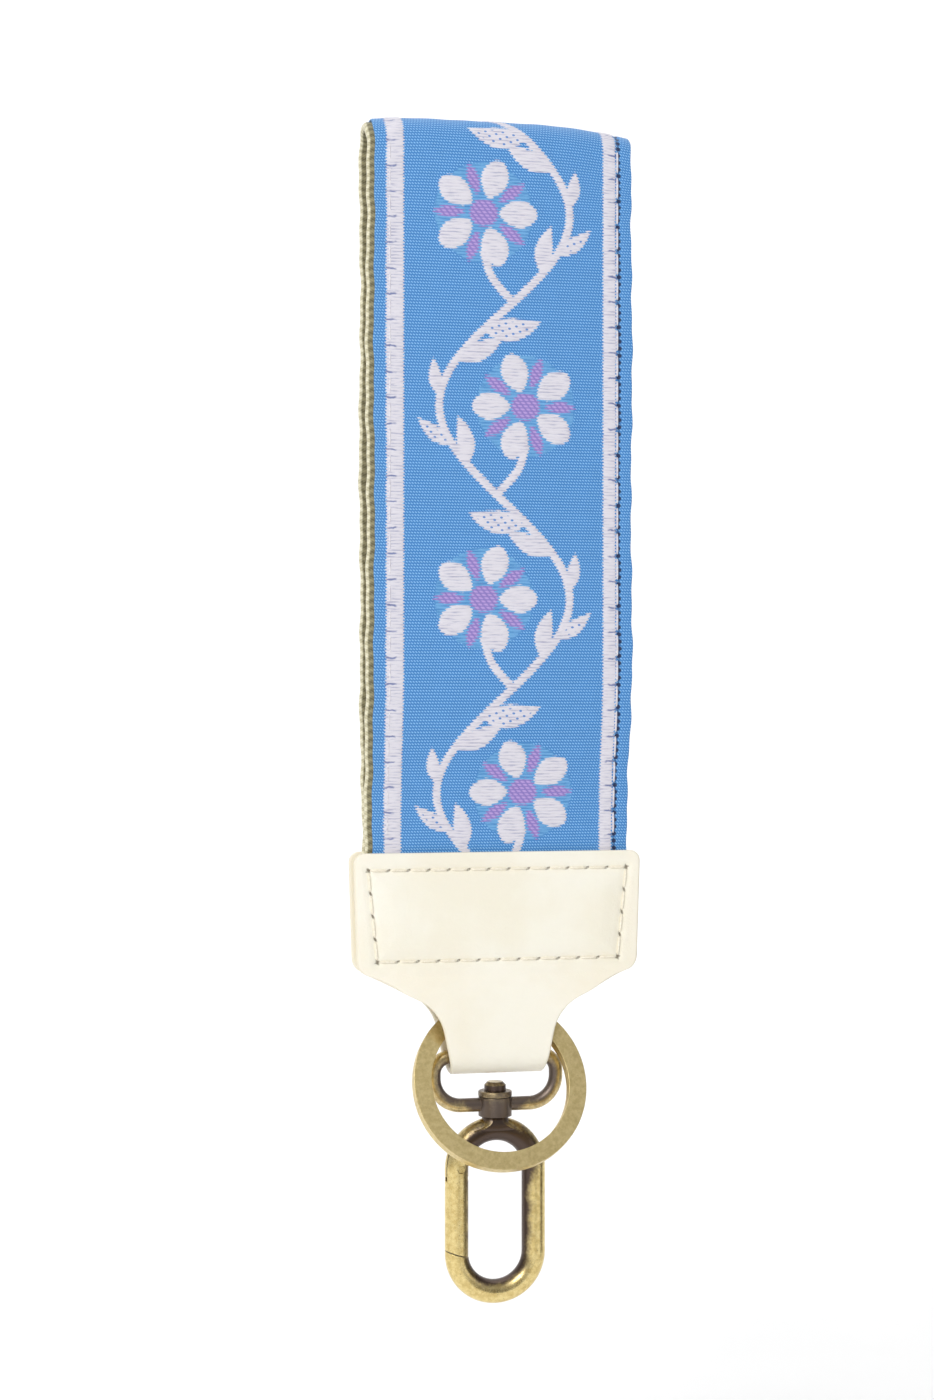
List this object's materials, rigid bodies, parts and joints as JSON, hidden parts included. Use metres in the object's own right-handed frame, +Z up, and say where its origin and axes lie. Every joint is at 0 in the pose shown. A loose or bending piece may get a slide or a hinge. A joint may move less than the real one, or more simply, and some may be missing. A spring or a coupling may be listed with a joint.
{
  "type": "wristlet keychain",
  "caption": "Wrist-strap key holder: folded floral ribbon and webbing loop sewn into a leather tab that carries a swivel snap hook and a split ring.",
  "frame": {"origin": "inside top of the wrist loop, in the middle of the strap's width, where a hand or a peg carries it", "axes": "+Z up as the object hangs, +X along the strap's width to the right as seen from the front, front face towards -Y"},
  "size_m": [0.055, 0.0183, 0.2231],
  "materials": {
    "webbing": "undyed herringbone cotton webbing",
    "ribbon": "jacquard woven ribbon, blue ground with white and lilac floats",
    "ribbon_thread": "fine sewing thread",
    "leather": "smooth cream leather with a fine grain",
    "leather_thread": "cream sewing thread",
    "antique_brass": "antique brass plate, dark in the recesses and rubbed bright on the edges",
    "brushed_brass": "brushed antique brass",
    "spring_steel": "plain steel"
  },
  "bodies": {
    "strap": {"backing_webbing": "webbing", "jacquard_ribbon": "ribbon", "ribbon_stitching_left": "ribbon_thread", "ribbon_stitching_right": "ribbon_thread", "leather_tab": "leather", "leather_stitching": "leather_thread"},
    "eye": {"swivel_eye": "antique_brass"},
    "hook": {"hook_body": "antique_brass", "swivel_washer": "antique_brass", "gate_pin": "antique_brass"},
    "gate": {"gate": "antique_brass", "gate_spring": "spring_steel"},
    "plunger": {"gate_plunger": "spring_steel"},
    "ring": {"split_ring": "brushed_brass"}
  },
  "joints": [
    {"name": "eye_swing", "type": "hinge", "parent": "strap", "child": "eye", "pos_m": [0, 0, -0.17405], "axis": [1, 0, 0], "range_deg": [0, 80]},
    {"name": "hook_swivel", "type": "hinge", "parent": "eye", "child": "hook", "pos_m": [0, 0, -0.1837], "axis": [0, 0, 1], "continuous": true},
    {"name": "gate_hinge", "type": "hinge", "parent": "hook", "child": "gate", "pos_m": [-0.0069, 0, -0.195], "axis": [0, -1, 0], "range_deg": [0, 28], "stiffness_Nm_per_rad": 0.02, "springref_deg": -17.19},
    {"name": "plunger_slide", "type": "slide", "parent": "gate", "child": "plunger", "axis": [0, 0, -1], "range_m": [0, 0.0006], "deforming": ["gate_spring"]},
    {"name": "ring_spin", "type": "hinge", "parent": "strap", "child": "ring", "pos_m": [-0.00025, -0.005, -0.1786], "axis": [0, -0.9135, 0.4067], "continuous": true}
  ],
  "couplings": [
    {"joint": "plunger_slide", "follows": "gate_hinge", "m_per_rad": 0.00095}
  ]
}
